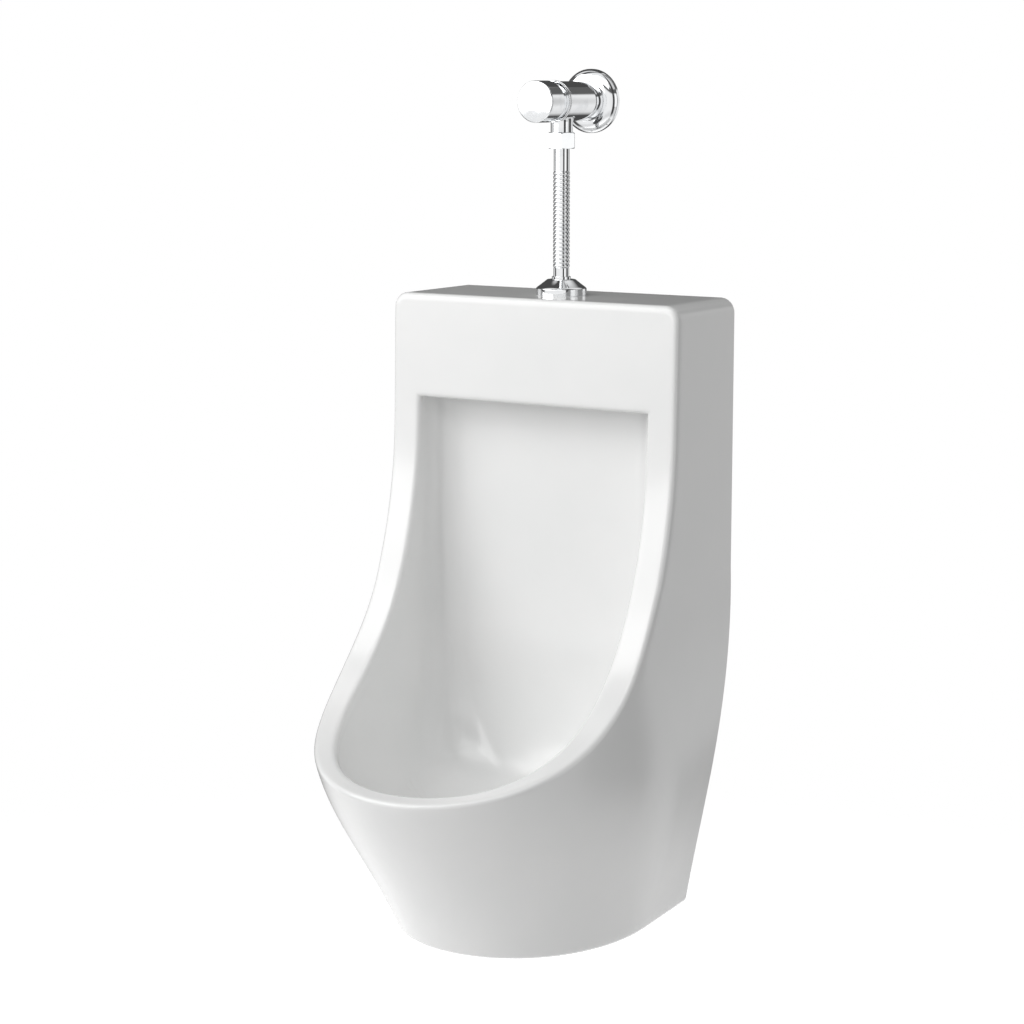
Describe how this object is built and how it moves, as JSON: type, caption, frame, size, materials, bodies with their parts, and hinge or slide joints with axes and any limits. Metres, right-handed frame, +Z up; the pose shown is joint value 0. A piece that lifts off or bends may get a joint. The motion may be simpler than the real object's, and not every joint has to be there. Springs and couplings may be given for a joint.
{
  "type": "wall hung urinal",
  "caption": "Wall-hung ceramic urinal with a raised rear block and a D-shaped bowl, fed from above by a chromed push-button flush valve on a short ribbed pipe.",
  "frame": {"origin": "on the wall's face, on the centre line, level with the bottom edge of the bowl", "axes": "+X to the right as a user sees it, +Y into the wall (the user stands on the -Y side), +Z up"},
  "size_m": [0.343, 0.436, 0.8675],
  "materials": {
    "china": "gloss",
    "galvanised": "satin",
    "zinc_screws": "satin",
    "plug_plastic": "matte",
    "chrome_plate": "polished",
    "brass_parts": "machined",
    "white_plastic": "semi-gloss",
    "filter_plastic": "matte",
    "black_rubber": "matte",
    "spring_steel": "satin"
  },
  "bodies": {
    "urinal": {"bonnet": "chrome_plate", "bonnet_seal": "black_rubber", "bracket_screws": "zinc_screws", "bracket_washers": "zinc_screws", "cartridge_sleeve": "brass_parts", "ceramic_body": "china", "flush_pipe": "chrome_plate", "inlet_filter": "filter_plastic", "inlet_seal": "black_rubber", "outlet_pipe": "white_plastic", "outlet_washer": "black_rubber", "return_spring": "spring_steel", "stem_seal": "black_rubber", "trap_body": "white_plastic", "trap_cup": "white_plastic", "trap_cup_seal": "black_rubber", "trap_dip_tube": "white_plastic", "trap_inlet_nut": "white_plastic", "trap_inlet_washer": "black_rubber", "trap_outlet_nut": "white_plastic", "trap_outlet_washer": "black_rubber", "union_nut": "chrome_plate", "valve_body": "chrome_plate", "wall_bracket_left": "galvanised", "wall_bracket_right": "galvanised", "wall_plugs": "plug_plastic", "wall_rosette": "chrome_plate", "waste_fitting": "white_plastic", "waste_lock_nut": "white_plastic", "waste_lower_gasket": "black_rubber", "waste_upper_seal": "black_rubber"},
    "button": {"button_cap": "chrome_plate", "stem": "brass_parts", "piston": "brass_parts", "piston_seal": "black_rubber", "valve_disc": "black_rubber"},
    "strainer": {"drain_strainer": "chrome_plate"},
    "pipe_cover": {"pipe_flange": "chrome_plate"}
  },
  "joints": [
    {"name": "button_press", "type": "slide", "parent": "urinal", "child": "button", "axis": [0, 1, 0], "range_m": [0, 0.008], "stiffness_N_per_m": 800, "springref_m": -0.005, "deforming": ["return_spring"]},
    {"name": "strainer_lift", "type": "slide", "parent": "urinal", "child": "strainer", "axis": [0, 0, 1], "range_m": [0, 0.06]},
    {"name": "flange_slide", "type": "slide", "parent": "urinal", "child": "pipe_cover", "axis": [0, 0, 1], "range_m": [0, 0.11]}
  ]
}
